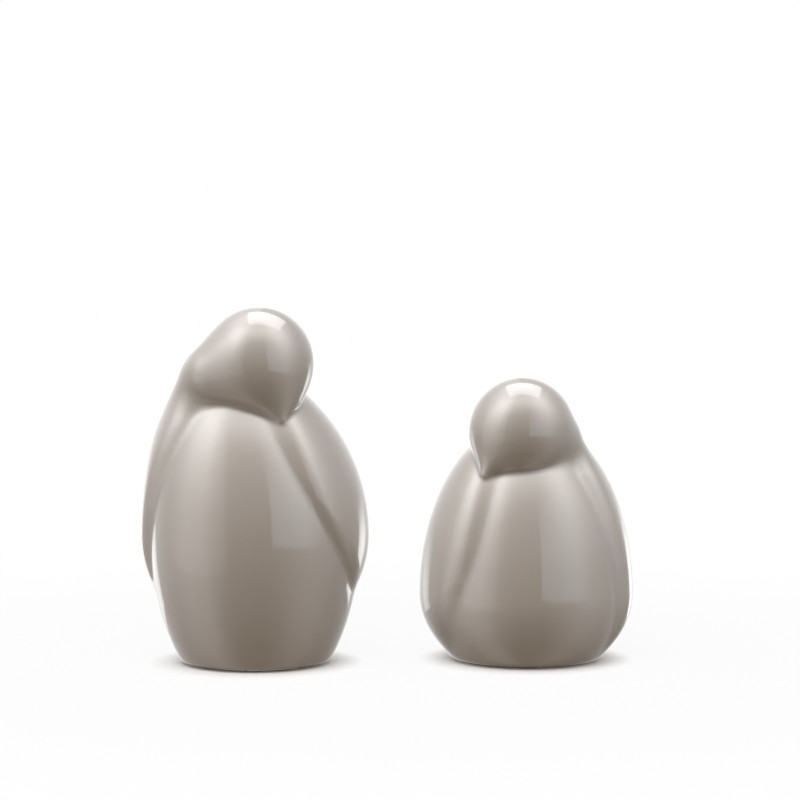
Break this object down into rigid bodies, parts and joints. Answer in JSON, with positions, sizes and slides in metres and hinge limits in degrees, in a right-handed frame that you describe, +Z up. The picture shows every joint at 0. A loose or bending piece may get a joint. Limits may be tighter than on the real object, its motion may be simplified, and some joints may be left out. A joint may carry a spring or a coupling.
{
  "type": "ceramic bird figurine pair",
  "caption": "Tall and small matching bird figurines in glazed ceramic, with folded wings and bowed heads, cast hollow and standing on felt pads.",
  "frame": {"origin": "centre of the pair's footprint, on the surface that the felt pads stand on", "axes": "+Z up, +X from the tall bird to the small one, both birds face -Y"},
  "size_m": [0.2088, 0.0984, 0.151],
  "materials": {
    "warm_grey_glaze": "glossy warm grey glaze over stoneware",
    "felt": "dark grey pressed felt, self-adhesive"
  },
  "bodies": {
    "tall_bird": {"tall_bird_shell": "warm_grey_glaze", "tall_felt_pad_1": "felt", "tall_felt_pad_2": "felt", "tall_felt_pad_3": "felt"},
    "small_bird": {"small_bird_shell": "warm_grey_glaze", "small_felt_pad_1": "felt", "small_felt_pad_2": "felt", "small_felt_pad_3": "felt"}
  },
  "joints": [
    {"name": "small_bird_lift", "type": "slide", "parent": "tall_bird", "child": "small_bird", "axis": [0, 0, 1], "range_m": [0, 0.16]}
  ]
}
